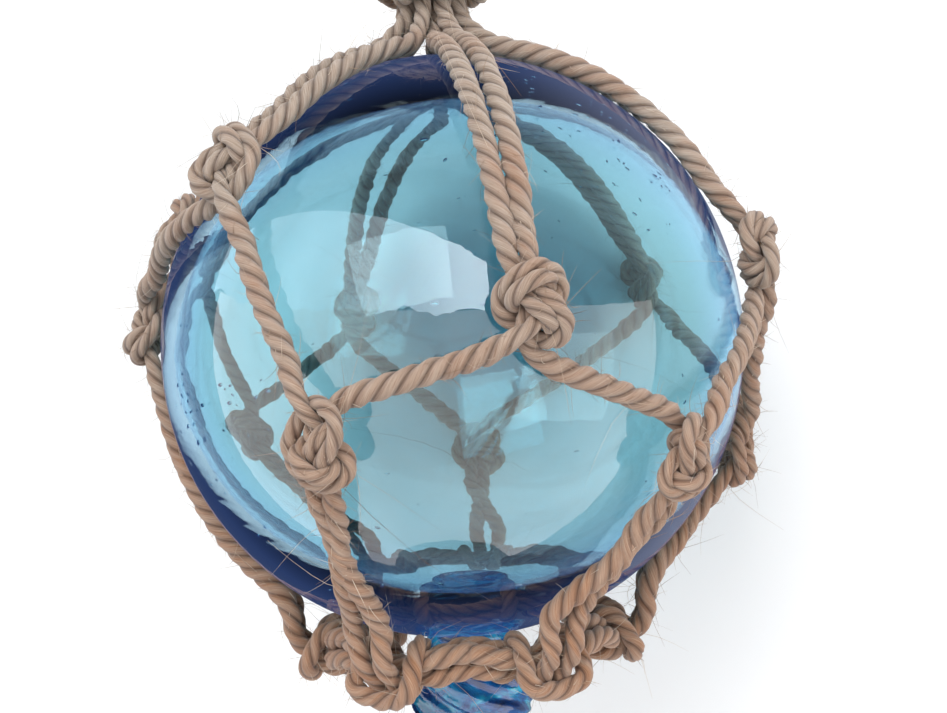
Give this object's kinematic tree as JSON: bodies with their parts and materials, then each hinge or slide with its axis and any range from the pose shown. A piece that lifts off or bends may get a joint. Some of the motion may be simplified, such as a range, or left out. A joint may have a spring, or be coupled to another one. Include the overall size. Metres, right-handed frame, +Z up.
{
  "type": "glass float ball",
  "caption": "Sealed blown glass float ball in a knotted jute net, with a corded base ring round its seal and the net's cord ends lashed together at the top, lying on its side.",
  "frame": {"origin": "on the surface the float lies on, under the middle of its box", "axes": "+Z up as it lies, +Y towards the gathered cord ends, which dip 7.8 degrees below level, so that the net's axis runs over Y; the seal is at -Y"},
  "size_m": [0.1458, 0.1784, 0.1355],
  "materials": {
    "blue_glass": "clear blown glass, pale aqua blue, with seeds and streaks",
    "jute": "hairy three-ply natural jute cord"
  },
  "bodies": {
    "root": {"glass_float": "blue_glass", "base_ring": "jute", "top_lashing": "jute", "net_cord_1": "jute", "net_cord_2": "jute", "net_cord_3": "jute", "net_cord_4": "jute", "net_cord_5": "jute", "net_cord_6": "jute"}
  },
  "joints": []
}
